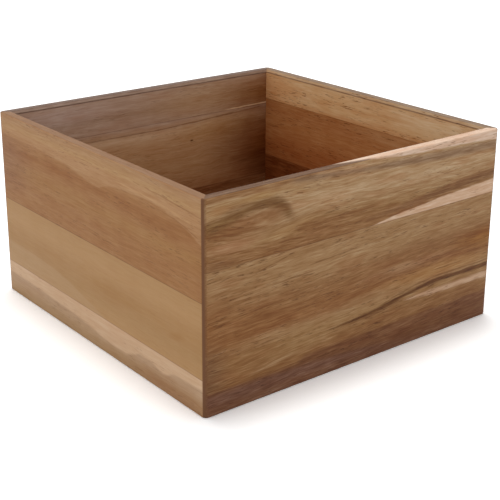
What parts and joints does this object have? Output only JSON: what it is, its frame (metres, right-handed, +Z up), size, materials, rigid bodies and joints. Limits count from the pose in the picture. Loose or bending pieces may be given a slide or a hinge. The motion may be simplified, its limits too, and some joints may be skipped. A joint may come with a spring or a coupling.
{
  "type": "storage bin",
  "caption": "Square open-topped wooden storage bin with mitred corners, edge-glued level-grain walls and a bottom panel held in a groove.",
  "frame": {"origin": "middle of the foot, on the surface that the bin stands on", "axes": "+Z up through the open top; -Y is out of the front wall, -X out of the left wall"},
  "size_m": [0.254, 0.254, 0.14],
  "materials": {
    "front_top_board": "oiled acacia, satin",
    "front_lower_board": "oiled acacia, satin",
    "left_top_board": "oiled acacia, satin",
    "left_middle_board": "oiled acacia, satin",
    "left_bottom_board": "oiled acacia, satin",
    "back_top_board": "oiled acacia, satin",
    "back_middle_board": "oiled acacia, satin",
    "back_bottom_board": "oiled acacia, satin",
    "right_top_board": "oiled acacia, satin",
    "right_middle_board": "oiled acacia, satin",
    "right_bottom_board": "oiled acacia, satin",
    "floor_front_board": "oiled acacia, satin",
    "floor_second_board": "oiled acacia, satin",
    "floor_third_board": "oiled acacia, satin",
    "floor_rear_board": "oiled acacia, satin"
  },
  "bodies": {
    "root": {"front_top_board": "front_top_board", "front_lower_board": "front_lower_board", "left_top_board": "left_top_board", "left_middle_board": "left_middle_board", "left_bottom_board": "left_bottom_board", "back_top_board": "back_top_board", "back_middle_board": "back_middle_board", "back_bottom_board": "back_bottom_board", "right_top_board": "right_top_board", "right_middle_board": "right_middle_board", "right_bottom_board": "right_bottom_board", "floor_front_board": "floor_front_board", "floor_second_board": "floor_second_board", "floor_third_board": "floor_third_board", "floor_rear_board": "floor_rear_board"}
  },
  "joints": []
}
